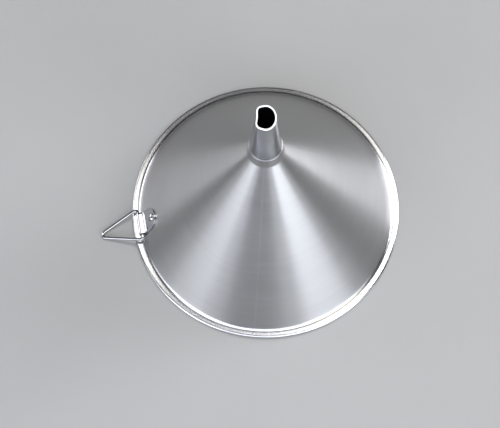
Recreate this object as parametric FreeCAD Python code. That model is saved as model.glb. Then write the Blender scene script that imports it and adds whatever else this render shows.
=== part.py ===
import FreeCAD
import Part
import math
import os

from FreeCAD import Vector

# Stainless steel pouring funnel with a hanging ring, in millimetres and degrees.
# The funnel stands mouth down: the origin is the centre of the mouth on the plane it rests on,
# +Z runs up the axis to the spout, and the hanger is on the -X side.

# Sheet metal
SHEET = 0.8  # thickness of the cone
STRAP_SHEET = 0.5
SLIP = 0.02  # gap between two faces that lie against each other

# Rim: an open hem, the sheet folded back under a narrow flange
RIM_RADIUS = 100.0
HEM_BEND = 1.5  # outside radius of the fold
HEM_RETURN = 3.7  # flat leg under the rim, which the funnel rests on
FLANGE_RISE = 6.0  # degrees that the flange climbs towards the flank
FLANGE_CORNER = 94.4  # radius where the flange and the flank would meet in a sharp corner
FLANGE_FILLET = 4.0

# Collar at the neck, drawn up from the cone
COLLAR_FOOT_RADIUS = 13.1  # where the flank and the collar would meet in a sharp corner
COLLAR_FOOT_HEIGHT = 123.5
COLLAR_FILLET = 2.0
COLLAR_LEAN = 4.0  # degrees from upright at the foot, and as much again at the lip
COLLAR_CURVE = 105.0

# Seam where the cone's sheet was rolled up and welded
SEAM_WIDTH = 1.0
SEAM_AZIMUTH = -102.4

# Spout: a tapered tube inside the collar, cut off at a slant, with a vent groove pressed in
SPOUT_WALL = 1.0
SPOUT_FOOT_HEIGHT = 122.0
SPOUT_ROUND_HEIGHT = 134.0  # the groove starts to sink in here
SPOUT_TIP_HEIGHT = 181.8  # where the slanted cut crosses the axis
SPOUT_TIP_RADIUS = 7.3
SPOUT_TAPER = 0.081  # growth in radius for each millimetre down
SPOUT_BLANK_HEIGHT = 188.0  # length before the slanted cut
CUT_SLANT = 30.5
CUT_LOW_SIDE = -97.5  # azimuth of the cut's lowest point
GROOVE_AZIMUTH = 171.0

# The groove's outline at the end of the blank, where it is deepest
GROOVE_START = 80.0  # degrees from the groove's middle to the end of the round part
GROOVE_FLAT = 2.45  # straight from there to the shoulder
GROOVE_SHOULDER = 3.0  # radius of the two shoulders
GROOVE_FLOOR = 5.6  # from the axis to the middle of the hollow

# Weld that joins the spout to the lip of the collar
BEAD_RISE = 1.3
BEAD_DEPTH = 0.8
BEAD_BULGE = 0.22

# Hanging ring: a triangle of round wire
WIRE_RADIUS = 1.1
RING_HALF_BASE = 12.7  # to the sharp corner, as all sizes of the triangle's centreline
RING_HEIGHT = 34.8
RING_BASE_BEND = 2.4
RING_TIP_BEND = 2.6
RING_SKEW = 3.2  # the ring lies a little askew in its loose barrel, with its tip towards -Y

# Strap: folded round the ring's base to make a barrel, and riveted to the flank
STRAP_WIDTH = 16.6
STRAP_REACH = 18.2  # from the barrel's centre to the rounded end
STRAP_FOOT = 3.5  # from the flange's sharp corner up the flank to the barrel
STRAP_LIFT = 0.06  # air between the strap and the curved flank
BARREL_BORE = 1.65  # radius, which leaves the wire loose
JOGGLE_ANGLE = 50.0
JOGGLE_BEND = 1.5
STRAP_TWIST = 3.0  # degrees that the strap has turned about its one rivet

# Rivet
RIVET_REACH = 13.4  # from the barrel's centre
RIVET_SHANK = 1.5
RIVET_HOLE = 1.55
RIVET_HEAD_RADIUS = 3.0
RIVET_HEAD_EDGE = 0.25
RIVET_HEAD_DOME = 1.15
RIVET_TAIL_RADIUS = 2.5
RIVET_TAIL_HEIGHT = 0.8
RIVET_TAIL_LIFT = 0.06

# The whole hanger is a little round from the -X side, towards -Y
HANGER_TURN = 0.4

AXIS = Vector(0, 0, 1)
CENTRE = Vector(0, 0, 0)


def cosd(angle):
    return math.cos(math.radians(angle))


def sind(angle):
    return math.sin(math.radians(angle))


def upright(angle, length=1.0):
    """A vector in the XZ plane, at an angle from +X towards +Z."""
    return Vector(length * cosd(angle), 0, length * sind(angle))


def level(angle, length, height):
    """A point at an azimuth and distance from the axis, at a height."""
    return Vector(length * cosd(angle), length * sind(angle), height)


def line(start, end):
    return Part.LineSegment(start, end).toShape()


def arc(start, middle, end):
    return Part.Arc(start, middle, end).toShape()


def walk(start, heading, steps):
    """Follow straight runs and bends in the XZ plane; each stage is (kind, points, headings).

    A step is ("run", length) or ("bend", radius, turn), where a positive turn goes left.
    """
    stages = []
    point = start
    for step in steps:
        if step[0] == "run":
            end = point + upright(heading, step[1])
            stages.append(("run", [point, end], [heading, heading]))
        else:
            radius, turn = step[1:]
            side = math.copysign(90, turn)
            centre = point + upright(heading + side, radius)
            headings = [heading, heading + turn / 2, heading + turn]
            points = [centre - upright(h + side, radius) for h in headings]
            stages.append(("bend", points, headings))
            end = points[-1]
            heading += turn
        point = end
    return stages


def sheet_section(stages, thickness):
    """The closed section of a bent sheet that lies to the left of a walk."""
    skin = []
    back = []
    for kind, points, headings in stages:
        behind = [p + upright(h + 90, thickness) for p, h in zip(points, headings)]
        draw = line if kind == "run" else arc
        skin.append(draw(*points))
        back.insert(0, draw(*reversed(behind)))
    far_end = line(skin[-1].lastVertex().Point, back[0].firstVertex().Point)
    near_end = line(back[-1].lastVertex().Point, skin[0].firstVertex().Point)
    return Part.Face(Part.Wire(skin + [far_end] + back + [near_end]))


def spin(face):
    return face.revolve(CENTRE, AXIS, 360)


def hang(shape):
    """Turn something built on the -X side to the hanger's place round the rim."""
    shape.rotate(CENTRE, AXIS, HANGER_TURN)
    return shape


def twist_and_hang(shape):
    """Turn a shape about the rivet, as the strap has turned, and then to the hanger's place."""
    shape.rotate(on_flank(RIVET_REACH, 0), OUT_OF_FLANK, STRAP_TWIST)
    return hang(shape)


# The flange's line runs from the end of the fold to its sharp corner with the flank
FOLD_END_RADIUS = RIM_RADIUS - HEM_BEND + HEM_BEND * sind(FLANGE_RISE)
FOLD_END_HEIGHT = HEM_BEND + HEM_BEND * cosd(FLANGE_RISE)
FLANGE_RUN = (FOLD_END_RADIUS - FLANGE_CORNER) / cosd(FLANGE_RISE)
CORNER_HEIGHT = FOLD_END_HEIGHT + FLANGE_RUN * sind(FLANGE_RISE)

FLANK_RISE = COLLAR_FOOT_HEIGHT - CORNER_HEIGHT
FLANK_RUN = FLANGE_CORNER - COLLAR_FOOT_RADIUS
FLANK_SLOPE = math.degrees(math.atan2(FLANK_RISE, FLANK_RUN))

# The strap and the rivet are placed along the flank and out from it
UP_FLANK = upright(FLANK_SLOPE)
OUT_OF_FLANK = upright(FLANK_SLOPE + 90)
FLANK_CORNER = Vector(-FLANGE_CORNER, 0, CORNER_HEIGHT)


def on_flank(up, out):
    """A point of the hanger's side, up the flank from the barrel and out from the flank's skin."""
    return FLANK_CORNER + UP_FLANK * (STRAP_FOOT + up) + OUT_OF_FLANK * out


BARREL_RADIUS = BARREL_BORE + STRAP_SHEET
BARREL_RISE = STRAP_LIFT + BARREL_RADIUS
STRAP_TOP = STRAP_LIFT + STRAP_SHEET + SLIP + STRAP_SHEET
BARREL_CENTRE = on_flank(0, BARREL_RISE)

# Where the twist and the turn leave the ring's hinge
TWIST = FreeCAD.Rotation(OUT_OF_FLANK, STRAP_TWIST)
TURN = FreeCAD.Rotation(AXIS, HANGER_TURN)
TWISTED_CENTRE = on_flank(RIVET_REACH, 0) + TWIST.multVec(BARREL_CENTRE - on_flank(RIVET_REACH, 0))
PIVOT = TURN.multVec(TWISTED_CENTRE)
HINGE = TURN.multVec(TWIST.multVec(Vector(0, 1, 0)))


def cone_walk():
    """The outer skin of the cone's sheet, from the hem's free edge to the collar's lip."""
    flange_turn = FLANK_SLOPE - FLANGE_RISE
    collar_turn = 90 - COLLAR_LEAN - FLANK_SLOPE
    flange_trim = FLANGE_FILLET * math.tan(math.radians(flange_turn / 2))
    collar_trim = COLLAR_FILLET * math.tan(math.radians(collar_turn / 2))
    flank_length = math.hypot(FLANK_RUN, FLANK_RISE)
    return walk(
        Vector(RIM_RADIUS - HEM_BEND - HEM_RETURN, 0, 0),
        0,
        [
            ("run", HEM_RETURN),
            ("bend", HEM_BEND, 180 - FLANGE_RISE),
            ("run", FLANGE_RUN - flange_trim),
            ("bend", FLANGE_FILLET, -flange_turn),
            ("run", flank_length - flange_trim - collar_trim),
            ("bend", COLLAR_FILLET, -collar_turn),
            ("bend", COLLAR_CURVE, COLLAR_LEAN),
        ],
    )


def build_cone():
    """The cone's sheet in one piece, with the rivet's hole, before the seam is taken out of it."""
    sheet = spin(sheet_section(cone_walk(), SHEET))
    hole = Part.makeCylinder(RIVET_HOLE, 4, on_flank(RIVET_REACH, -2), OUT_OF_FLANK)
    return sheet.cut(hang(hole))


def seam_slab():
    """A thin slab on one side of the axis that takes the seam out of the cone."""
    slab = Part.makeBox(RIM_RADIUS, SEAM_WIDTH, 150, Vector(5, -SEAM_WIDTH / 2, -5))
    slab.rotate(CENTRE, AXIS, SEAM_AZIMUTH)
    return slab


def spout_radius(height):
    return SPOUT_TIP_RADIUS + SPOUT_TAPER * (SPOUT_TIP_HEIGHT - height)


def around(centre, radius, start, end):
    """An arc about a centre, from one direction to another."""
    height = centre.z
    spokes = [level(a, radius, 0) for a in (start, (start + end) / 2, end)]
    return arc(*[Vector(centre.x + s.x, centre.y + s.y, height) for s in spokes])


def mirrored(point):
    return Vector(point.x, -point.y, point.z)


def spout_outline(height, inset, grooved):
    """The spout's outline at a height, with the groove towards +X; a round one has the same six edges."""
    tip_radius = spout_radius(SPOUT_BLANK_HEIGHT)
    flat_start = level(GROOVE_START, tip_radius, height)
    flat_end = flat_start + level(GROOVE_START - 90, GROOVE_FLAT, 0)
    shoulder = flat_end - level(GROOVE_START, GROOVE_SHOULDER, 0)

    # the hollow's arc touches both shoulders
    floor_reach = GROOVE_FLOOR - shoulder.x
    hollow_radius = (floor_reach**2 + shoulder.y**2 - GROOVE_SHOULDER**2) / (
        2 * (GROOVE_SHOULDER - floor_reach)
    )
    hollow = Vector(GROOVE_FLOOR + hollow_radius, 0, height)
    lean = math.degrees(math.atan2(shoulder.y, hollow.x - shoulder.x))

    axis = Vector(0, 0, height)
    if not grooved:
        radius = spout_radius(height) - inset
        touch = shoulder + level(-lean, GROOVE_SHOULDER, 0)
        flat = math.degrees(math.atan2(flat_end.y, flat_end.x))
        meeting = math.degrees(math.atan2(touch.y, touch.x))
        turns = [GROOVE_START, 360 - GROOVE_START, 360 - flat, 360 - meeting]
        turns += [360 + meeting, 360 + flat, 360 + GROOVE_START]
        return Part.Wire([around(axis, radius, a, b) for a, b in zip(turns, turns[1:])])

    inward = level(GROOVE_START, inset, 0)
    near = flat_start - inward
    far = flat_end - inward
    return Part.Wire(
        [
            around(axis, tip_radius - inset, GROOVE_START, 360 - GROOVE_START),
            line(mirrored(near), mirrored(far)),
            around(mirrored(shoulder), GROOVE_SHOULDER - inset, -GROOVE_START, lean),
            around(hollow, hollow_radius + inset, 180 + lean, 180 - lean),
            around(shoulder, GROOVE_SHOULDER - inset, -lean, GROOVE_START),
            line(far, near),
        ]
    )


def spout_blank(inset):
    """A solid tapered plug, round up to where the groove starts."""
    outlines = [
        spout_outline(SPOUT_FOOT_HEIGHT, inset, False),
        spout_outline(SPOUT_ROUND_HEIGHT, inset, False),
        spout_outline(SPOUT_BLANK_HEIGHT, inset, True),
    ]
    return Part.makeLoft(outlines, True, True)


def build_spout():
    tube = spout_blank(0).cut(spout_blank(SPOUT_WALL))
    tube.rotate(CENTRE, AXIS, GROOVE_AZIMUTH)
    size = 60
    waste = Part.makeBox(size, size, size, Vector(-size / 2, -size / 2, 0))
    low_side = level(CUT_LOW_SIDE, sind(CUT_SLANT), cosd(CUT_SLANT))
    waste.Placement = FreeCAD.Placement(
        Vector(0, 0, SPOUT_TIP_HEIGHT), FreeCAD.Rotation(AXIS, low_side)
    ).multiply(waste.Placement)
    return tube.cut(waste)


def build_bead(cone, spout):
    """The neck's weld: it lies on the collar's lip, against the spout, and fills the gap between them."""
    lip = cone_walk()[-1][1][-1]
    top_height = lip.z + BEAD_RISE
    top = Vector(spout_radius(top_height), 0, top_height)
    bulge = (lip + top) * 0.5 + Vector(BEAD_BULGE, 0, BEAD_BULGE)
    inside = spout_radius(lip.z) - SPOUT_WALL / 2
    floor = lip.z - BEAD_DEPTH
    corners = [
        top,
        Vector(inside, 0, top_height),
        Vector(inside, 0, floor),
        Vector(lip.x - SHEET / 2, 0, floor),
        lip,
    ]
    edges = [arc(lip, bulge, top)] + [line(a, b) for a, b in zip(corners, corners[1:])]
    return spin(Part.Face(Part.Wire(edges))).cut(cone).cut(spout)


def build_strap():
    """The hanger's strap: both its layers lie on the flank, with the barrel at the lower end."""
    reverse_drop = JOGGLE_BEND * (1 - cosd(JOGGLE_ANGLE))
    barrel_start = BARREL_RISE + BARREL_RADIUS * cosd(JOGGLE_ANGLE)
    ramp = (barrel_start - STRAP_TOP - reverse_drop) / sind(JOGGLE_ANGLE)
    joggle_reach = (BARREL_RADIUS + JOGGLE_BEND) * sind(JOGGLE_ANGLE) + ramp * cosd(JOGGLE_ANGLE)
    stages = walk(
        on_flank(STRAP_REACH, STRAP_TOP),
        FLANK_SLOPE + 180,
        [
            ("run", STRAP_REACH - joggle_reach),
            ("bend", JOGGLE_BEND, -JOGGLE_ANGLE),
            ("run", ramp),
            ("bend", BARREL_RADIUS, 180 + JOGGLE_ANGLE),
            ("run", STRAP_REACH),
        ],
    )
    section = sheet_section(stages, STRAP_SHEET)
    section.translate(Vector(0, -STRAP_WIDTH / 2, 0))
    folded = section.extrude(Vector(0, STRAP_WIDTH, 0))

    # the end is a full round, and the rivet's hole goes through both layers
    end_radius = STRAP_WIDTH / 2
    end_centre = on_flank(STRAP_REACH - end_radius, -5)
    rounded = Part.makeCylinder(end_radius, 20, end_centre, OUT_OF_FLANK)
    stem = Part.makeBox(STRAP_REACH, STRAP_WIDTH, 20, Vector(-STRAP_REACH, -end_radius, 0))
    stem.Placement = FreeCAD.Placement(end_centre, FreeCAD.Rotation(Vector(0, 1, 0), -FLANK_SLOPE)).multiply(
        stem.Placement
    )
    hole = Part.makeCylinder(RIVET_HOLE, 20, on_flank(RIVET_REACH, -5), OUT_OF_FLANK)
    return twist_and_hang(folded.common(rounded.fuse(stem)).cut(hole))


def build_rivet():
    """A domed rivet through the strap and the flank, set flat inside the cone."""
    head_foot = STRAP_TOP + SLIP
    shoulder = head_foot + RIVET_HEAD_EDGE
    crown = shoulder + RIVET_HEAD_DOME
    tail_top = -SHEET - RIVET_TAIL_LIFT
    dome_radius = (RIVET_HEAD_RADIUS**2 + RIVET_HEAD_DOME**2) / (2 * RIVET_HEAD_DOME)
    half_angle = math.degrees(math.asin(RIVET_HEAD_RADIUS / dome_radius)) / 2
    dome_middle = Vector(
        dome_radius * sind(half_angle), 0, crown - dome_radius * (1 - cosd(half_angle))
    )
    corners = [
        Vector(0, 0, crown),
        Vector(0, 0, tail_top - RIVET_TAIL_HEIGHT),
        Vector(RIVET_TAIL_RADIUS, 0, tail_top - RIVET_TAIL_HEIGHT),
        Vector(RIVET_TAIL_RADIUS, 0, tail_top),
        Vector(RIVET_SHANK, 0, tail_top),
        Vector(RIVET_SHANK, 0, head_foot),
        Vector(RIVET_HEAD_RADIUS, 0, head_foot),
        Vector(RIVET_HEAD_RADIUS, 0, shoulder),
    ]
    edges = [line(a, b) for a, b in zip(corners, corners[1:])]
    edges.append(arc(corners[-1], dome_middle, corners[0]))
    rivet = spin(Part.Face(Part.Wire(edges)))
    rivet.Placement = FreeCAD.Placement(
        on_flank(RIVET_REACH, 0), FreeCAD.Rotation(AXIS, OUT_OF_FLANK)
    )
    return hang(rivet)


def rounded_loop(corners, bends):
    """A closed path through level points, with a tangent arc at each corner, from the first straight."""
    count = len(corners)
    starts = []
    middles = []
    ends = []
    for i, (corner, bend) in enumerate(zip(corners, bends)):
        back = (corners[i - 1] - corner).normalize()
        ahead = (corners[(i + 1) % count] - corner).normalize()
        half = back.getAngle(ahead) / 2
        trim = bend / math.tan(half)
        inward = (back + ahead).normalize()
        centre = corner + inward * (bend / math.sin(half))
        starts.append(corner + back * trim)
        middles.append(centre - inward * bend)
        ends.append(corner + ahead * trim)
    edges = []
    for i in range(count):
        edges.append(line(ends[i - 1], starts[i]))
        edges.append(arc(starts[i], middles[i], ends[i]))
    return Part.Wire(edges)


def build_ring():
    """The hanging ring, lying with its tip on the surface that the funnel stands on."""
    corners = [
        Vector(0, RING_HALF_BASE, 0),
        Vector(-RING_HEIGHT, 0, 0),
        Vector(0, -RING_HALF_BASE, 0),
    ]
    path = rounded_loop(corners, [RING_BASE_BEND, RING_TIP_BEND, RING_BASE_BEND])
    start = path.Edges[0].firstVertex().Point
    section = Part.Wire(Part.makeCircle(WIRE_RADIUS, start, Vector(0, 1, 0)))
    ring = path.makePipeShell([section], True, False)
    half_tip = math.atan2(RING_HALF_BASE, RING_HEIGHT)
    bend_reach = RING_HEIGHT - RING_TIP_BEND / math.sin(half_tip)
    tip_reach = bend_reach * cosd(RING_SKEW) + RING_TIP_BEND
    tip_lift = -bend_reach * sind(RING_SKEW) * HINGE.z
    droop = math.degrees(math.asin((PIVOT.z + tip_lift - WIRE_RADIUS) / tip_reach))
    ring.rotate(CENTRE, AXIS, RING_SKEW)
    ring.rotate(CENTRE, Vector(0, 1, 0), -droop)
    ring.translate(BARREL_CENTRE)
    return twist_and_hang(ring)


def build_all():
    cone = build_cone()
    spout = build_spout()
    slab = seam_slab()
    return {
        "cone_body": cone.cut(slab),
        "cone_seam_weld": cone.common(slab),
        "spout_tube": spout,
        "neck_weld_bead": build_bead(cone, spout),
        "hanger_strap": build_strap(),
        "hanger_rivet": build_rivet(),
        "hanging_ring": build_ring(),
    }


os.makedirs("parts", exist_ok=True)
for name, shape in build_all().items():
    shape.exportStep("parts/" + name + ".step")
    box = shape.BoundBox
    print(
        f"{name}: {len(shape.Solids)} solid, {shape.Volume:.1f} mm3, valid {shape.isValid()}, "
        f"x {box.XMin:.2f} {box.XMax:.2f}, y {box.YMin:.2f} {box.YMax:.2f}, z {box.ZMin:.2f} {box.ZMax:.2f}"
    )
print(f"flank at {FLANK_SLOPE:.2f} degrees, ring's hinge at {PIVOT} along {HINGE}")
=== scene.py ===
import math

import bmesh
import bpy
from mathutils import Matrix, Vector


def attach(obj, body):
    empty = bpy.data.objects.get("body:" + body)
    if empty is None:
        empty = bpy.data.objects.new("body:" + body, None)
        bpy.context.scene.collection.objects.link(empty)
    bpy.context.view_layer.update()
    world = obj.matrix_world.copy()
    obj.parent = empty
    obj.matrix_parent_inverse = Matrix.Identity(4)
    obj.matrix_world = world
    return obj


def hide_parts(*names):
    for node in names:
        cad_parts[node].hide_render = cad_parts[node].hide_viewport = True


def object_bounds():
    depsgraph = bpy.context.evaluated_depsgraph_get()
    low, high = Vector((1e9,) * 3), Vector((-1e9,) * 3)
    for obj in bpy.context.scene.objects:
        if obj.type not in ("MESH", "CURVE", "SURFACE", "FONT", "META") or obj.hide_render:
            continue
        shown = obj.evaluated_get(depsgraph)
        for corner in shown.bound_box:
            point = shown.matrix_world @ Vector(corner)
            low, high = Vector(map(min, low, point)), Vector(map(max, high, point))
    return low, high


# A stainless steel pouring funnel standing mouth down on a pale floor.
# The pieces are modelled in millimetres, in the frame's axes, and turned into metres by make_piece.
# Angles are in degrees. A piece's azimuth goes from +X towards +Y, and the camera's and the lights'
# azimuth goes from -Y towards +X.

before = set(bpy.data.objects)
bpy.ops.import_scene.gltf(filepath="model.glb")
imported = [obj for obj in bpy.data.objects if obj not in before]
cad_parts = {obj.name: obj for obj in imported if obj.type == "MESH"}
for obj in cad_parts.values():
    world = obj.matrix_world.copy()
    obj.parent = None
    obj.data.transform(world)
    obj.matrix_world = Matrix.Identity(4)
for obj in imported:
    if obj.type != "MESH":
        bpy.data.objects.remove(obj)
CAD_LOW, CAD_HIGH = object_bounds()

MM = 0.001

# Sheet metal
SHEET = 0.8  # thickness of the cone
STRAP_SHEET = 0.5
SLIP = 0.02  # gap between two faces that lie against each other

# Rim: the sheet folded back under a narrow flange
RIM_RADIUS = round(CAD_HIGH.x / MM, 1)
HEM_BEND = 1.5  # outside radius of the fold
HEM_RETURN = 3.7  # flat leg under the rim, which the funnel rests on
FLANGE_RISE = 6.0  # climb of the flange towards the flank
FLANGE_CORNER = 94.4  # radius where the flange and the flank would meet in a sharp corner
FLANGE_FILLET = 4.0

# Collar at the neck
COLLAR_FOOT_RADIUS = 13.1  # where the flank and the collar would meet in a sharp corner
COLLAR_FOOT_HEIGHT = 123.5
COLLAR_FILLET = 2.0
COLLAR_LEAN = 4.0  # from upright at the foot, and as much again at the lip
COLLAR_CURVE = 105.0

# Seam
SEAM_HALF_WIDTH = 0.5
SEAM_AZIMUTH = -102.4
SEAM_CROWN = 0.02  # height of the weld's middle above the sheet
SEAM_RIPPLE = 0.25  # share of the crown
SEAM_RIPPLE_PITCH = 1.3

# Spout
SPOUT_WALL = 1.0
SPOUT_FOOT_HEIGHT = 122.0
SPOUT_ROUND_HEIGHT = 134.0  # the groove starts to sink in here
SPOUT_TIP_HEIGHT = 181.8  # where the slanted cut crosses the axis
SPOUT_TIP_RADIUS = 7.3
SPOUT_TAPER = 0.081  # growth in radius for each millimetre down
SPOUT_BLANK_HEIGHT = 188.0  # length before the slanted cut
CUT_SLANT = 30.5
CUT_LOW_SIDE = -97.5  # azimuth of the cut's lowest point
CUT_ROUNDING = 0.22  # how far the cut's edges are rounded off
CUT_SHINE = (0.15, 0.35)  # depths below the cut where its bare polish and its painted highlight start to fade and have gone
GROOVE_AZIMUTH = 171.0

# The groove's outline at the end of the blank, where it is deepest
GROOVE_START = 80.0  # from the groove's middle to the end of the round part
GROOVE_FLAT = 2.45  # straight from there to the shoulder
GROOVE_SHOULDER = 3.0  # radius of the two shoulders
GROOVE_FLOOR = 5.6  # from the axis to the middle of the hollow

# Points along each part of the spout's outline
ROUND_POINTS = 110
FLAT_POINTS = 8
SHOULDER_POINTS = 14
HOLLOW_POINTS = 20

# Weld at the neck
BEAD_RISE = 1.3
BEAD_DEPTH = 0.8
BEAD_BULGE = 0.22
BEAD_BITE = 0.02  # how far it runs into the two walls, so that no light shows between

# Hanging ring
WIRE_RADIUS = 1.1
RING_HALF_BASE = 12.7  # to the sharp corner, as all sizes of the triangle's centreline
RING_HEIGHT = 34.8
RING_BASE_BEND = 2.4
RING_TIP_BEND = 2.6
RING_SKEW = 3.2  # the ring lies askew in its loose barrel, with its tip towards -Y

# Strap and rivet
STRAP_WIDTH = 16.6
STRAP_REACH = 18.2  # from the barrel's centre to the rounded end
STRAP_FOOT = 3.5  # from the flange's sharp corner up the flank to the barrel
STRAP_LIFT = 0.06  # air between the strap and the curved flank
STRAP_EDGE = 0.12  # how far its edges are rounded off
STRAP_EDGE_STEPS = 3
STRAP_EDGE_ANGLE = 50.0  # only edges that bend by more are rounded off
BARREL_BORE = 1.65  # radius
JOGGLE_ANGLE = 50.0
JOGGLE_BEND = 1.5
RIVET_REACH = 13.4  # from the barrel's centre
RIVET_SHANK = 1.5
RIVET_HEAD_RADIUS = 3.0
RIVET_HEAD_EDGE = 0.25
RIVET_HEAD_DOME = 1.15
RIVET_TAIL_RADIUS = 2.5
RIVET_TAIL_HEIGHT = 0.8
RIVET_TAIL_LIFT = 0.06
STRAP_TWIST = 3.0  # the strap has turned about its rivet
HANGER_TURN = 0.4  # round the rim from the -X side, towards -Y

# Grain and wear of the finishes
NOISE_RANGE = (0.3, 0.7)  # where nearly all of a noise's values lie
AXIS_STRETCH = 3.0  # radius, in the noise, of the circle that goes once round the axis
BAND_PITCH = 14  # hairlines in each wider band
HAIRLINE_SHARE = 0.5  # against the bands
GRAIN_SHARE = 0.6  # against the clouds
RIM_FINISH_TOP = 1.6  # where the rim's finish has gone, in heights of the flange's corner
QUARTER_TURN = 0.25

# Scales of the blotches in the finishes, per metre along each axis
CLOUDS = (28, 28, 28)
MARKS = (260, 260, 260)
FLOOR_CLOUDS = (9, 9, 9)
FLOOR_GRAIN = (900, 900, 900)

# The Mix node's sockets for its two inputs and its result, for each kind of value
MIX_SOCKETS = {"FLOAT": (2, 3, 0), "RGBA": (6, 7, 2)}

# Camera: the direction and distance from the origin, and the framing
CAMERA_ELEVATION = 70.25
CAMERA_AZIMUTH = -7.5
CAMERA_DISTANCE = 1.4
CAMERA_LENS = 134.23
CAMERA_SHIFT = (-0.0314, -0.0072)
CAMERA_SENSOR = 36
CAMERA_CLIP = 0.05

LIGHT_DISTANCE = 2.0

# Mesh detail
LONGEST_RUN = 2.0  # between two points of an outline
WIDEST_TURN = 5.0
FEWEST_STEPS = 4  # on a bend
MERGE_DISTANCE = 0.001
SHARP_ANGLE = 40.0  # edges that bend by more stay crisp

FULL_TURN = 360.0


def cosd(angle):
    return math.cos(math.radians(angle))


def sind(angle):
    return math.sin(math.radians(angle))


def level(angle, length, height):
    """A point at an azimuth and distance from the axis, at a height."""
    return Vector((length * cosd(angle), length * sind(angle), height))


# Outlines


def follow(start, heading, steps, longest_run=LONGEST_RUN):
    """Rows of (x, y, heading) along straight runs and bends; a positive turn goes left."""
    x, y = start
    rows = [(x, y, heading)]
    for kind, size, turn in steps:
        if kind == "run":
            count = math.ceil(size / longest_run)
            stride = size / count
        else:
            count = max(FEWEST_STEPS, math.ceil(abs(turn) / WIDEST_TURN))
            stride = 2 * size * sind(abs(turn) / count / 2)
        for _ in range(count):
            heading += turn / count / 2
            x += stride * cosd(heading)
            y += stride * sind(heading)
            heading += turn / count / 2
            rows.append((x, y, heading))
    return rows


def run(length):
    return ("run", length, 0.0)


def bend(radius, turn):
    return ("bend", radius, turn)


def offset(rows, distance):
    """The same rows moved to the left of their headings."""
    return [(x - distance * sind(h), y + distance * cosd(h), h) for x, y, h in rows]


def points_of(rows):
    return [(x, y) for x, y, _ in rows]


def arc_points(centre, radius, start, end, count):
    """Points on an arc, its first end included and its last end left out."""
    angles = [start + (end - start) * i / count for i in range(count)]
    return [Vector((centre.x + radius * cosd(a), centre.y + radius * sind(a), 0)) for a in angles]


def eased_corner(before, corner, after, count):
    """Points that round a corner, both ends included."""
    points = []
    for i in range(count + 1):
        t = i / count
        points.append(before * (1 - t) ** 2 + corner * 2 * t * (1 - t) + after * t**2)
    return points


# Meshes


def make_piece(name, vertices, faces):
    """An object from millimetres, with smooth faces that stay crisp at the sheet's edges."""
    mesh = bpy.data.meshes.new(name)
    mesh.from_pydata([vertex * MM for vertex in vertices], [], faces)
    edit = bmesh.new()
    edit.from_mesh(mesh)
    bmesh.ops.remove_doubles(edit, verts=edit.verts, dist=MERGE_DISTANCE * MM)
    bmesh.ops.recalc_face_normals(edit, faces=edit.faces)
    edit.to_mesh(mesh)
    edit.free()
    mesh.shade_smooth()
    mesh.set_sharp_from_angle(angle=math.radians(SHARP_ANGLE))
    piece = bpy.data.objects.new(name, mesh)
    bpy.context.scene.collection.objects.link(piece)
    return piece


def grid_faces(rows, columns, wrap_rows=False, wrap_columns=False):
    """Quads between rows of points, joined up at the ends where they wrap."""
    faces = []
    for i in range(rows if wrap_rows else rows - 1):
        for j in range(columns if wrap_columns else columns - 1):
            a = i * columns
            b = (i + 1) % rows * columns
            k = (j + 1) % columns
            faces.append((a + j, b + j, b + k, a + k))
    return faces


def lathe(name, section, segments):
    """A closed or axis-to-axis section of (radius, height) points, turned about the axis."""
    vertices = []
    for i in range(segments):
        vertices += [level(FULL_TURN * i / segments, radius, height) for radius, height in section]
    closed = section[0][0] > 0
    faces = grid_faces(segments, len(section), wrap_rows=True, wrap_columns=closed)
    return make_piece(name, vertices, faces)


# The cone and its seam

FOLD_END_RADIUS = RIM_RADIUS - HEM_BEND + HEM_BEND * sind(FLANGE_RISE)
FOLD_END_HEIGHT = HEM_BEND + HEM_BEND * cosd(FLANGE_RISE)
FLANGE_RUN = (FOLD_END_RADIUS - FLANGE_CORNER) / cosd(FLANGE_RISE)
CORNER_HEIGHT = FOLD_END_HEIGHT + FLANGE_RUN * sind(FLANGE_RISE)
FLANK_RISE = COLLAR_FOOT_HEIGHT - CORNER_HEIGHT
FLANK_RUN = FLANGE_CORNER - COLLAR_FOOT_RADIUS
FLANK_SLOPE = math.degrees(math.atan2(FLANK_RISE, FLANK_RUN))

UP_FLANK = Vector((cosd(FLANK_SLOPE), 0, sind(FLANK_SLOPE)))
OUT_OF_FLANK = Vector((-sind(FLANK_SLOPE), 0, cosd(FLANK_SLOPE)))
FLANK_CORNER = Vector((-FLANGE_CORNER, 0, CORNER_HEIGHT))


def on_flank(up, out):
    """A point of the hanger's side, up the flank from the barrel and out from the flank's skin."""
    return FLANK_CORNER + UP_FLANK * (STRAP_FOOT + up) + OUT_OF_FLANK * out


def cone_rows():
    """The outer skin of the cone's sheet, from the hem's free edge to the collar's lip."""
    flange_turn = FLANK_SLOPE - FLANGE_RISE
    collar_turn = 90 - COLLAR_LEAN - FLANK_SLOPE
    flange_trim = FLANGE_FILLET * math.tan(math.radians(flange_turn / 2))
    collar_trim = COLLAR_FILLET * math.tan(math.radians(collar_turn / 2))
    flank_length = math.hypot(FLANK_RUN, FLANK_RISE)
    return follow(
        (RIM_RADIUS - HEM_BEND - HEM_RETURN, 0),
        0,
        [
            run(HEM_RETURN),
            bend(HEM_BEND, 180 - FLANGE_RISE),
            run(FLANGE_RUN - flange_trim),
            bend(FLANGE_FILLET, -flange_turn),
            run(flank_length - flange_trim - collar_trim),
            bend(COLLAR_FILLET, -collar_turn),
            bend(COLLAR_CURVE, COLLAR_LEAN),
        ],
    )


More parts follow.
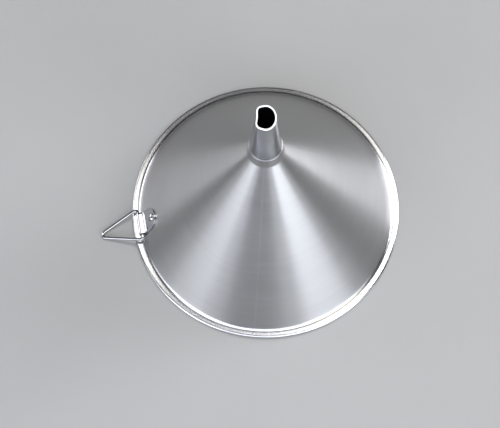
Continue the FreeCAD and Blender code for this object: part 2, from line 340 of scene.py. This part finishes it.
def build_cone(segments=480):
    """The sheet with its two edges a seam's width apart."""
    outer = cone_rows()
    inner = offset(outer, SHEET)
    section = points_of(outer) + points_of(inner)[::-1]
    vertices = []
    for i in range(segments + 1):
        for radius, height in section:
            edge = math.degrees(math.asin(SEAM_HALF_WIDTH / radius))
            azimuth = SEAM_AZIMUTH + edge + (FULL_TURN - 2 * edge) * i / segments
            vertices.append(level(azimuth, radius, height))
    columns = len(section)
    faces = grid_faces(segments + 1, columns, wrap_columns=True)
    for first in (0, segments * columns):
        for j in range(len(outer) - 1):
            back = columns - 1 - j
            faces.append((first + j, first + j + 1, first + back - 1, first + back))
    return make_piece("cone", vertices, faces)


def build_seam(across=8):
    """The weld: a strip with a low rippled crown on both skins, flattened on the rim's folds."""
    outer = cone_rows()
    inner = offset(outer, SHEET)
    vertices = []
    travelled = 0.0
    for index, ((x, y, heading), (inner_x, inner_y, _)) in enumerate(zip(outer, inner)):
        if index:
            travelled += math.hypot(x - outer[index - 1][0], y - outer[index - 1][1])
        ripple = 1 + SEAM_RIPPLE * math.sin(2 * math.pi * travelled / SEAM_RIPPLE_PITCH)
        crown = SEAM_CROWN * ripple * min(1.0, max(0.0, y / CORNER_HEIGHT - 1))
        loop = []
        for side, (skin_x, skin_y) in ((1, (x, y)), (-1, (inner_x, inner_y))):
            for j in range(across + 1):
                t = side * (2 * j / across - 1)
                lateral = SEAM_HALF_WIDTH * t
                rise = side * crown * (1 - t * t)
                reach = math.sqrt(skin_x**2 - lateral**2) + rise * sind(heading)
                height = skin_y - rise * cosd(heading)
                middle = level(SEAM_AZIMUTH, reach, height)
                loop.append(middle + level(SEAM_AZIMUTH + 90, lateral, 0))
        vertices += loop
    columns = 2 * (across + 1)
    faces = grid_faces(len(outer), columns, wrap_columns=True)
    faces.append(tuple(range(columns)))
    faces.append(tuple(range((len(outer) - 1) * columns, len(outer) * columns)))
    return make_piece("seam_weld", vertices, faces)


# The spout and the weld at its foot


def spout_radius(height):
    return SPOUT_TIP_RADIUS + SPOUT_TAPER * (SPOUT_TIP_HEIGHT - height)


def spout_outlines(inset):
    """The spout's round and grooved outlines, point for point, with the groove towards +X."""
    tip_radius = spout_radius(SPOUT_BLANK_HEIGHT)
    flat_start = level(GROOVE_START, tip_radius, 0)
    flat_end = flat_start + level(GROOVE_START - 90, GROOVE_FLAT, 0)
    shoulder = flat_end - level(GROOVE_START, GROOVE_SHOULDER, 0)
    mirror = Matrix.Diagonal((1, -1, 1))

    # The hollow's arc touches both shoulders from outside and crosses the middle at the floor
    floor_reach = GROOVE_FLOOR - shoulder.x
    hollow_radius = (floor_reach**2 + shoulder.y**2 - GROOVE_SHOULDER**2) / (
        2 * (GROOVE_SHOULDER - floor_reach)
    )
    hollow = Vector((GROOVE_FLOOR + hollow_radius, 0, 0))
    lean = math.degrees(math.atan2(shoulder.y, hollow.x - shoulder.x))
    touch = shoulder + level(-lean, GROOVE_SHOULDER, 0)
    flat = math.degrees(math.atan2(flat_end.y, flat_end.x))
    meeting = math.degrees(math.atan2(touch.y, touch.x))

    axis = Vector((0, 0, 0))
    inward = level(GROOVE_START, inset, 0)
    low_end, high_end = flat_end - inward, flat_start - inward
    straight = [low_end.lerp(high_end, i / FLAT_POINTS) for i in range(FLAT_POINTS + 1)]
    bend_radius = GROOVE_SHOULDER - inset
    round_end = FULL_TURN - GROOVE_START
    grooved = arc_points(axis, tip_radius - inset, GROOVE_START, round_end, ROUND_POINTS)
    grooved += [mirror @ point for point in straight[:0:-1]]
    grooved += arc_points(mirror @ shoulder, bend_radius, -GROOVE_START, lean, SHOULDER_POINTS)
    grooved += arc_points(hollow, hollow_radius + inset, 180 + lean, 180 - lean, HOLLOW_POINTS)
    grooved += arc_points(shoulder, bend_radius, -lean, GROOVE_START, SHOULDER_POINTS)
    grooved += straight[:-1]

    # As many points on a plain circle, so that each has its partner on the grooved outline
    turns = [GROOVE_START, round_end, FULL_TURN - flat, FULL_TURN - meeting]
    turns += [FULL_TURN + meeting, FULL_TURN + flat, FULL_TURN + GROOVE_START]
    counts = [ROUND_POINTS, FLAT_POINTS, SHOULDER_POINTS]
    counts += [HOLLOW_POINTS, SHOULDER_POINTS, FLAT_POINTS]
    plain = []
    for start, end, count in zip(turns, turns[1:], counts):
        plain += arc_points(axis, 1.0, start, end, count)
    return plain, grooved


def spout_skin(inset, rows=26):
    """Columns of points up one skin of the spout, each ending on the slanted cut."""
    tip = Vector((0, 0, SPOUT_TIP_HEIGHT))
    cut = level(CUT_LOW_SIDE, sind(CUT_SLANT), cosd(CUT_SLANT))
    turn = Matrix.Rotation(math.radians(GROOVE_AZIMUTH), 3, "Z")
    columns = []
    for direction, grooved in zip(*spout_outlines(inset)):
        foot = direction * (spout_radius(SPOUT_FOOT_HEIGHT) - inset)
        low = direction * (spout_radius(SPOUT_ROUND_HEIGHT) - inset)
        foot.z = SPOUT_FOOT_HEIGHT
        low.z = SPOUT_ROUND_HEIGHT
        high = Vector((grooved.x, grooved.y, SPOUT_BLANK_HEIGHT))
        foot, low, high = turn @ foot, turn @ low, turn @ high
        share = (tip - low).dot(cut) / (high - low).dot(cut)
        columns.append([foot] + [low.lerp(high, share * i / rows) for i in range(rows + 1)])
    return columns


def build_spout(lip_steps=4):
    """The tapered tube, with its two skins joined by a cut edge that is rounded off a little."""
    vertices = []
    for outer, inner in zip(spout_skin(0), spout_skin(SPOUT_WALL)):
        across = (inner[-1] - outer[-1]).normalized() * CUT_ROUNDING
        outer_down = (outer[-2] - outer[-1]).normalized() * CUT_ROUNDING
        inner_down = (inner[-2] - inner[-1]).normalized() * CUT_ROUNDING
        lip = eased_corner(outer[-1] + outer_down, outer[-1], outer[-1] + across, lip_steps)
        lip += eased_corner(inner[-1] - across, inner[-1], inner[-1] + inner_down, lip_steps)
        column = outer[:-1] + lip + inner[-2::-1]
        vertices += column
    per_column = len(column)
    faces = grid_faces(len(vertices) // per_column, per_column, wrap_rows=True, wrap_columns=True)
    return make_piece("spout", vertices, faces)


def build_bead(steps=10, segments=192):
    """The weld on the collar's lip, bulging a little between the collar and the spout."""
    lip_radius, lip_height, _ = cone_rows()[-1]
    top_height = lip_height + BEAD_RISE
    floor_height = lip_height - BEAD_DEPTH
    lip = Vector((lip_radius, lip_height, 0))
    top = Vector((spout_radius(top_height), top_height, 0))
    # An eased corner goes halfway to its corner point, so that is twice the bulge away
    corner = Vector((BEAD_BULGE, BEAD_BULGE, 0)) * 2 + (lip + top) / 2
    section = [(p.x, p.y) for p in eased_corner(lip, corner, top, steps)]
    section.append((top.x - BEAD_BITE, top_height))
    section.append((spout_radius(floor_height) - BEAD_BITE, floor_height))
    section.append((lip_radius - SHEET + BEAD_BITE, floor_height))
    section.append((lip_radius - SHEET + BEAD_BITE, lip_height))
    return lathe("neck_weld", section, segments)


# The hanger

BARREL_RADIUS = BARREL_BORE + STRAP_SHEET
BARREL_RISE = STRAP_LIFT + BARREL_RADIUS
STRAP_TOP = STRAP_LIFT + STRAP_SHEET + SLIP + STRAP_SHEET
BARREL_CENTRE = on_flank(0, BARREL_RISE)
RIVET_FOOT = on_flank(RIVET_REACH, 0)
TURN = Matrix.Rotation(math.radians(HANGER_TURN), 4, "Z")
TWIST = (
    Matrix.Translation(RIVET_FOOT)
    @ Matrix.Rotation(math.radians(STRAP_TWIST), 4, OUT_OF_FLANK)
    @ Matrix.Translation(-RIVET_FOOT)
)
STRAP_PLACE = TURN @ TWIST


def hang(points):
    """Points built on the -X side, turned about the rivet and then to the hanger's place."""
    return [STRAP_PLACE @ point for point in points]


def build_strap(across=14, steps=14):
    """The strap: a strip with two round ends, folded double round the ring's base."""
    end_radius = STRAP_WIDTH / 2
    reverse_drop = JOGGLE_BEND * (1 - cosd(JOGGLE_ANGLE))
    barrel_start = BARREL_RISE + BARREL_RADIUS * cosd(JOGGLE_ANGLE)
    ramp = (barrel_start - STRAP_TOP - reverse_drop) / sind(JOGGLE_ANGLE)
    joggle_reach = (BARREL_RADIUS + JOGGLE_BEND) * sind(JOGGLE_ANGLE) + ramp * cosd(JOGGLE_ANGLE)
    turns = [90 * i / steps for i in range(steps + 1)]
    round_end = [run(end_radius * (cosd(a) - cosd(b))) for a, b in zip(turns, turns[1:])]
    rows = follow(
        (STRAP_REACH, STRAP_TOP),
        180,
        round_end
        + [
            run(STRAP_REACH - joggle_reach - end_radius),
            bend(JOGGLE_BEND, -JOGGLE_ANGLE),
            run(ramp),
            bend(BARREL_RADIUS, 180 + JOGGLE_ANGLE),
            run(STRAP_REACH - end_radius),
        ]
        + round_end[::-1],
        longest_run=1.5,
    )
    vertices = []
    for up, out, _ in rows:
        past_centre = max(0.0, up - (STRAP_REACH - end_radius))
        half_width = math.sqrt(max(0.0, end_radius**2 - past_centre**2))
        for j in range(across + 1):
            sideways = Vector((0, half_width * (2 * j / across - 1), 0))
            vertices.append(on_flank(up, out) + sideways)
    faces = grid_faces(len(rows), across + 1)
    strap = make_piece("hanger_strap_folded", hang(vertices), faces)
    thicken = strap.modifiers.new("sheet", "SOLIDIFY")
    thicken.thickness = STRAP_SHEET * MM
    thicken.offset = -1
    ease = strap.modifiers.new("edge", "BEVEL")
    ease.width = STRAP_EDGE * MM
    ease.segments = STRAP_EDGE_STEPS
    ease.limit_method = "ANGLE"
    ease.angle_limit = math.radians(STRAP_EDGE_ANGLE)
    return strap


def build_rivet(steps=16, segments=64):
    """A domed head on the strap, a shank through both sheets, and a flat tail inside the cone."""
    head_foot = STRAP_TOP + SLIP
    shoulder = head_foot + RIVET_HEAD_EDGE
    crown = shoulder + RIVET_HEAD_DOME
    tail_top = -SHEET - RIVET_TAIL_LIFT
    tail_end = tail_top - RIVET_TAIL_HEIGHT
    dome_radius = (RIVET_HEAD_RADIUS**2 + RIVET_HEAD_DOME**2) / (2 * RIVET_HEAD_DOME)
    dome_spread = math.degrees(math.asin(RIVET_HEAD_RADIUS / dome_radius))
    section = []
    for i in range(steps + 1):
        angle = dome_spread * i / steps
        section.append((dome_radius * sind(angle), crown - dome_radius * (1 - cosd(angle))))
    section += [
        (RIVET_HEAD_RADIUS, head_foot),
        (RIVET_SHANK, head_foot),
        (RIVET_SHANK, tail_top),
        (RIVET_TAIL_RADIUS, tail_top),
        (RIVET_TAIL_RADIUS, tail_end),
        (0, tail_end),
    ]
    rivet = lathe("rivet", section, segments)
    upright = OUT_OF_FLANK.to_track_quat("Z", "Y").to_matrix().to_4x4()
    rivet.data.transform(TURN @ Matrix.Translation(RIVET_FOOT * MM) @ upright)
    return rivet


def rounded_loop(corners, bends, count=16):
    """A closed path through level points, with a tangent arc at each corner."""
    path = []
    for i, (corner, radius) in enumerate(zip(corners, bends)):
        back = (corners[i - 1] - corner).normalized()
        ahead = (corners[(i + 1) % len(corners)] - corner).normalized()
        half = back.angle(ahead) / 2
        inward = (back + ahead).normalized()
        centre = corner + inward * (radius / math.sin(half))
        start = corner + back * (radius / math.tan(half)) - centre
        spin = math.pi - 2 * half
        side = math.copysign(1, back.cross(ahead).z)
        for j in range(count + 1):
            turn = Matrix.Rotation(-side * spin * j / count, 3, "Z")
            path.append(centre + turn @ start)
    return path


def build_ring(around=28):
    """The triangular wire ring, with its base in the barrel and its tip on the floor."""
    corners = [
        Vector((0, RING_HALF_BASE, 0)),
        Vector((-RING_HEIGHT, 0, 0)),
        Vector((0, -RING_HALF_BASE, 0)),
    ]
    path = rounded_loop(corners, (RING_BASE_BEND, RING_TIP_BEND, RING_BASE_BEND))

    # The ring droops until the wire at its tip lies on the floor
    half_tip = math.atan2(RING_HALF_BASE, RING_HEIGHT)
    bend_reach = RING_HEIGHT - RING_TIP_BEND / math.sin(half_tip)
    tip_reach = bend_reach * cosd(RING_SKEW) + RING_TIP_BEND
    pivot, further = hang([BARREL_CENTRE, BARREL_CENTRE + Vector((0, 1, 0))])
    tip_lift = bend_reach * sind(RING_SKEW) * (pivot - further).z
    droop = math.asin((pivot.z + tip_lift - WIRE_RADIUS) / tip_reach)
    lay = Matrix.Rotation(-droop, 3, "Y") @ Matrix.Rotation(math.radians(RING_SKEW), 3, "Z")

    vertices = []
    for i, point in enumerate(path):
        ahead = (path[(i + 1) % len(path)] - path[i - 1]).normalized()
        outward = ahead.cross(Vector((0, 0, 1)))
        for j in range(around):
            angle = FULL_TURN * j / around
            spoke = outward * cosd(angle) + Vector((0, 0, sind(angle)))
            vertices.append(BARREL_CENTRE + lay @ (point + spoke * WIRE_RADIUS))
    faces = grid_faces(len(path), around, wrap_rows=True, wrap_columns=True)
    return make_piece("ring_wire", hang(vertices), faces)


# Materials


class Nodes:
    """Short ways to add and join the nodes of one material."""

    def __init__(self, name):
        self.material = bpy.data.materials.new(name)
        self.material.use_nodes = True
        self.tree = self.material.node_tree
        self.shader = self.tree.nodes["Principled BSDF"]

    def add(self, kind, settings=None, **inputs):
        node = self.tree.nodes.new(kind)
        for key, value in (settings or {}).items():
            setattr(node, key, value)
        for key, value in inputs.items():
            self.put(value, node.inputs[key])
        return node

    def put(self, value, socket):
        if isinstance(value, bpy.types.NodeSocket):
            self.tree.links.new(value, socket)
        else:
            socket.default_value = value

    def math(self, operation, first, second=0.0):
        node = self.add("ShaderNodeMath", {"operation": operation})
        self.put(first, node.inputs[0])
        self.put(second, node.inputs[1])
        return node.outputs[0]

    def weigh(self, first, second, share):
        """The sum of two values, of which the first counts for a share."""
        return self.math(
            "ADD", self.math("MULTIPLY", first, share), self.math("MULTIPLY", second, 1 - share)
        )

    def around_axis(self, stretch, pitch):
        """A place that changes slowly round the axis, and by 1 a pitch (metres) up or inward."""
        place = self.add("ShaderNodeNewGeometry").outputs["Position"]
        split = self.add("ShaderNodeSeparateXYZ", Vector=place).outputs
        sides = (split["X"], split["Y"])
        squares = [self.math("MULTIPLY", side, side) for side in sides]
        reach = self.math("SQRT", self.math("ADD", *squares))
        joined = self.add("ShaderNodeCombineXYZ")
        for side, socket in zip(sides, joined.inputs):
            self.put(self.math("MULTIPLY", self.math("DIVIDE", side, reach), stretch), socket)
        climb = self.math("SUBTRACT", split["Z"], reach)
        self.put(self.math("DIVIDE", climb, pitch), joined.inputs["Z"])
        return joined.outputs[0]

    def object_place(self):
        return self.add("ShaderNodeTexCoord").outputs["Object"]

    def scaled_place(self, stretch):
        """The object's own coordinates, scaled along each axis."""
        scaled = self.add("ShaderNodeMapping", Vector=self.object_place(), Scale=stretch)
        return scaled.outputs[0]

    def noise(self, place, detail):
        node = self.add("ShaderNodeTexNoise", Vector=place, Scale=1.0, Detail=detail, Roughness=0.6)
        return node.outputs["Fac"]

    def spread(self, value, low, high):
        """A noise's value, spread between low and high."""
        node = self.add("ShaderNodeMapRange", Value=value)
        keys = ("From Min", "From Max", "To Min", "To Max")
        for key, number in zip(keys, (*NOISE_RANGE, low, high)):
            node.inputs[key].default_value = number
        return node.outputs[0]

    def ramp(self, value, start, end):
        """0 up to one value and 1 from another, eased in between."""
        node = self.add("ShaderNodeMapRange", {"interpolation_type": "SMOOTHSTEP"}, Value=value)
        node.inputs["From Min"].default_value = start
        node.inputs["From Max"].default_value = end
        return node.outputs[0]

    def height(self):
        return self.add("ShaderNodeSeparateXYZ", Vector=self.object_place()).outputs["Z"]

    def depth_below(self, point, normal):
        """The distance behind a plane, from a point on it and its normal (metres)."""
        node = self.add("ShaderNodeVectorMath", {"operation": "DOT_PRODUCT"})
        self.put(self.object_place(), node.inputs[0])
        self.put(normal, node.inputs[1])
        return self.math("SUBTRACT", point.dot(normal), node.outputs["Value"])

    def mix(self, kind, share, first, second):
        """A mix of two numbers (FLOAT) or two colours (RGBA)."""
        first_socket, second_socket, result_socket = MIX_SOCKETS[kind]
        node = self.add("ShaderNodeMix", {"data_type": kind})
        self.put(share, node.inputs[0])
        self.put(first, node.inputs[first_socket])
        self.put(second, node.inputs[second_socket])
        return node.outputs[result_socket]

    def blend(self, share, first, second):
        return self.mix("FLOAT", share, first, second)

    def tint(self, share, *colours):
        """A mix of two colours, each three numbers or another node's output."""
        ends = [(*colour, 1) if isinstance(colour, tuple) else colour for colour in colours]
        return self.mix("RGBA", share, *ends)

    def bump(self, height, distance):
        node = self.add("ShaderNodeBump", Height=height, Distance=distance, Strength=1.0)
        self.put(node.outputs[0], self.shader.inputs["Normal"])

    def finish_with(self, colour, roughness):
        self.put(colour, self.shader.inputs["Base Color"])
        self.put(roughness, self.shader.inputs["Roughness"])
        return self.material


def spun_steel(name, dark, light, smooth, rough, anisotropy, pitch, depth, end):
    """Steel finished on a lathe, whose fine lines round the axis spread its gloss along the flank.

    Pitch and depth are the lines' spacing and height in metres. One end of the piece has another
    finish, whose colour can also carry a painted highlight: its "where" is a function of the nodes
    that gives 0 at that end and 1 on the rest.
    """
    nodes = Nodes(name)
    nodes.shader.inputs["Metallic"].default_value = 1.0
    nodes.shader.inputs["Anisotropic Rotation"].default_value = QUARTER_TURN
    tangent = nodes.add("ShaderNodeTangent", {"direction_type": "RADIAL", "axis": "Z"})
    nodes.put(tangent.outputs[0], nodes.shader.inputs["Tangent"])
    hairlines = nodes.noise(nodes.around_axis(AXIS_STRETCH, pitch), detail=5.0)
    bands = nodes.noise(nodes.around_axis(AXIS_STRETCH / 2, pitch * BAND_PITCH), detail=3.0)
    clouds = nodes.noise(nodes.scaled_place(CLOUDS), detail=3.0)
    nodes.bump(hairlines, depth)
    grain = nodes.weigh(hairlines, bands, HAIRLINE_SHARE)
    worn = nodes.weigh(grain, clouds, GRAIN_SHARE)
    colour = nodes.tint(nodes.spread(grain, 0.0, 1.0), dark, light)
    roughness = nodes.spread(worn, smooth, rough)

    spun = end["where"](nodes)
    end_roughness = nodes.math("MULTIPLY", roughness, end["roughness"] / rough)
    nodes.put(nodes.blend(spun, end["anisotropy"], anisotropy), nodes.shader.inputs["Anisotropic"])
    colour = nodes.tint(spun, end["colour"], colour)
    roughness = nodes.blend(spun, end_roughness, roughness)
    return nodes.finish_with(colour, roughness)


def above_the_rim(nodes):
    return nodes.ramp(nodes.height(), CORNER_HEIGHT * MM, RIM_FINISH_TOP * CORNER_HEIGHT * MM)


def below_the_cut(nodes):
    tip = Vector((0, 0, SPOUT_TIP_HEIGHT)) * MM
    depth = nodes.depth_below(tip, level(CUT_LOW_SIDE, sind(CUT_SLANT), cosd(CUT_SLANT)))
    return nodes.ramp(depth, *(edge * MM for edge in CUT_SHINE))


def polished_steel(name, dark, light, smooth, rough, grain, depth):
    """Bright steel with a fine drawn grain and faint handling marks."""
    nodes = Nodes(name)
    nodes.shader.inputs["Metallic"].default_value = 1.0
    lines = nodes.noise(nodes.scaled_place(grain), detail=4.0)
    marks = nodes.noise(nodes.scaled_place(MARKS), detail=3.0)
    nodes.bump(lines, depth)
    colour = nodes.tint(nodes.spread(marks, 0.0, 1.0), dark, light)
    return nodes.finish_with(colour, nodes.spread(marks, smooth, rough))


def floor_paint(dark, light, smooth, rough, depth):
    nodes = Nodes("pale_floor")
    clouds = nodes.noise(nodes.scaled_place(FLOOR_CLOUDS), detail=3.0)
    grain = nodes.noise(nodes.scaled_place(FLOOR_GRAIN), detail=2.0)
    nodes.bump(grain, depth)
    nodes.shader.inputs["Specular IOR Level"].default_value = 0.2
    colour = nodes.tint(nodes.spread(clouds, 0.0, 1.0), dark, light)
    return nodes.finish_with(colour, nodes.spread(grain, smooth, rough))


# The scene


def place_piece(piece, material, body, node):
    piece.data.materials.append(material)
    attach(piece, body)
    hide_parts(node)


def build_floor(paint, half=3.0):
    corners = [(-half, -half, 0), (half, -half, 0), (half, half, 0), (-half, half, 0)]
    mesh = bpy.data.meshes.new("floor")
    mesh.from_pydata(corners, [], [(0, 1, 2, 3)])
    mesh.materials.append(paint)
    floor = bpy.data.objects.new("floor", mesh)
    bpy.context.scene.collection.objects.link(floor)


def back_vector(azimuth, elevation):
    """The direction from the object to something at that azimuth, 0 being -Y, and elevation."""
    return Vector(
        (sind(azimuth) * cosd(elevation), -cosd(azimuth) * cosd(elevation), sind(elevation))
    )


def build_camera():
    data = bpy.data.cameras.new("camera")
    data.lens = CAMERA_LENS
    data.sensor_width = CAMERA_SENSOR
    data.shift_x, data.shift_y = CAMERA_SHIFT
    data.clip_start = CAMERA_CLIP
    camera = bpy.data.objects.new("camera", data)
    back = back_vector(CAMERA_AZIMUTH, CAMERA_ELEVATION)
    camera.location = back * CAMERA_DISTANCE
    camera.rotation_mode = "QUATERNION"
    camera.rotation_quaternion = (-back).to_track_quat("-Z", "Y")
    bpy.context.scene.collection.objects.link(camera)
    bpy.context.scene.camera = camera


def soft_light(name, azimuth, elevation, size, power, colour):
    """A rectangular soft light that faces the funnel; size is its width and height in metres."""
    data = bpy.data.lights.new(name, "AREA")
    data.shape = "RECTANGLE"
    data.size, data.size_y = size
    data.energy = power
    data.color = colour
    light = bpy.data.objects.new(name, data)
    back = back_vector(azimuth, elevation)
    light.location = back * LIGHT_DISTANCE
    light.rotation_mode = "QUATERNION"
    light.rotation_quaternion = (-back).to_track_quat("-Z", "Y")
    bpy.context.scene.collection.objects.link(light)


def build_world(colour, strength):
    world = bpy.data.worlds.new("studio")
    world.use_nodes = True
    background = world.node_tree.nodes["Background"]
    background.inputs["Color"].default_value = (*colour, 1)
    background.inputs["Strength"].default_value = strength
    bpy.context.scene.world = world


RIM_FINISH = {
    "where": above_the_rim,
    "colour": (0.6, 0.6, 0.61),
    "roughness": 0.24,
    "anisotropy": 0.4,
}
# The spout's cut edge: bare cut metal, also painted near white as a painted highlight along the
# mouth
CUT_BARE_EDGE_AND_HIGHLIGHT = {
    "where": below_the_cut,
    "colour": (0.9, 0.89, 0.87),
    "roughness": 0.55,
    "anisotropy": 0.0,
}

cone_satin = spun_steel(
    "cone_satin",
    dark=(0.35, 0.35, 0.35),
    light=(0.385, 0.385, 0.385),
    smooth=0.3,
    rough=0.36,
    anisotropy=0.72,
    pitch=0.0004,
    depth=0.000002,
    end=RIM_FINISH,
)
seam_satin = spun_steel(
    "seam_satin",
    dark=(0.37, 0.37, 0.37),
    light=(0.41, 0.41, 0.41),
    smooth=0.31,
    rough=0.37,
    anisotropy=0.72,
    pitch=0.0005,
    depth=0.000003,
    end=RIM_FINISH,
)
spout_satin = spun_steel(
    "spout_satin",
    dark=(0.34, 0.35, 0.37),
    light=(0.4, 0.41, 0.43),
    smooth=0.12,
    rough=0.17,
    anisotropy=0.5,
    pitch=0.0003,
    depth=0.000002,
    end=CUT_BARE_EDGE_AND_HIGHLIGHT,
)
bead_polish = polished_steel(
    "bead_polish",
    dark=(0.24, 0.24, 0.25),
    light=(0.3, 0.3, 0.31),
    smooth=0.34,
    rough=0.42,
    grain=(300, 300, 900),
    depth=0.000004,
)
strap_polish = polished_steel(
    "strap_polish",
    dark=(0.5, 0.5, 0.53),
    light=(0.57, 0.57, 0.6),
    smooth=0.08,
    rough=0.14,
    grain=(4000, 200, 4000),
    depth=0.000002,
)
rivet_polish = polished_steel(
    "rivet_polish",
    dark=(0.42, 0.42, 0.43),
    light=(0.5, 0.5, 0.51),
    smooth=0.08,
    rough=0.14,
    grain=(1500, 1500, 1500),
    depth=0.000002,
)
wire_polish = polished_steel(
    "wire_polish",
    dark=(0.35, 0.35, 0.35),
    light=(0.42, 0.42, 0.42),
    smooth=0.06,
    rough=0.14,
    grain=(900, 900, 900),
    depth=0.000003,
)
pale_floor = floor_paint(
    dark=(0.305, 0.305, 0.3), light=(0.315, 0.315, 0.31), smooth=0.8, rough=0.9, depth=0.0001
)

place_piece(build_cone(), cone_satin, "funnel", "cone_body")
place_piece(build_seam(), seam_satin, "funnel", "cone_seam_weld")
place_piece(build_spout(), spout_satin, "funnel", "spout_tube")
place_piece(build_bead(), bead_polish, "funnel", "neck_weld_bead")
place_piece(build_strap(), strap_polish, "funnel", "hanger_strap")
place_piece(build_rivet(), rivet_polish, "funnel", "hanger_rivet")
place_piece(build_ring(), wire_polish, "ring", "hanging_ring")

build_floor(pale_floor)
build_camera()
build_world((0.9, 0.95, 1.0), 0.02)

# In front, at the right: the right-hand streak down the cone
soft_light("front_right_low", 33, 16, (1.1, 1.0), 15, (0.88, 0.92, 1.0))
soft_light("front_right_wide", 32, 16, (2.2, 1.0), 12, (0.88, 0.92, 1.0))
soft_light("front_right_high", 32, 48, (1.4, 1.1), 9, (1.0, 0.97, 0.84))

# The two sides
soft_light("right", 108, 22, (1.0, 1.5), 40, (0.95, 0.95, 1.0))
soft_light("left", 243, 42, (0.7, 1.5), 3, (0.97, 0.97, 1.0))
soft_light("behind_left_low", 238, 11, (1.3, 0.7), 12, (0.94, 0.94, 1.0))

# In front, at the left: the left-hand streak
soft_light("front_left_low", 300, 16, (0.9, 1.0), 7.5, (0.9, 0.93, 1.0))
soft_light("front_left_wide", 299, 16, (2.0, 1.0), 12, (0.9, 0.93, 1.0))
soft_light("front_left_high", 334, 43, (2.2, 1.7), 31, (0.84, 0.88, 1.0))

# From above: most of the floor's light, and the rim's shine at the left and right
soft_light("main", 150, 77, (0.9, 0.45), 13.5, (0.96, 0.97, 1.0))
soft_light("left_top", 214, 66, (0.5, 0.4), 3, (1.0, 0.97, 0.9))
soft_light("right_top", 142, 66, (0.6, 0.5), 5, (1.0, 0.97, 0.9))

bpy.context.scene.view_settings.view_transform = "Standard"
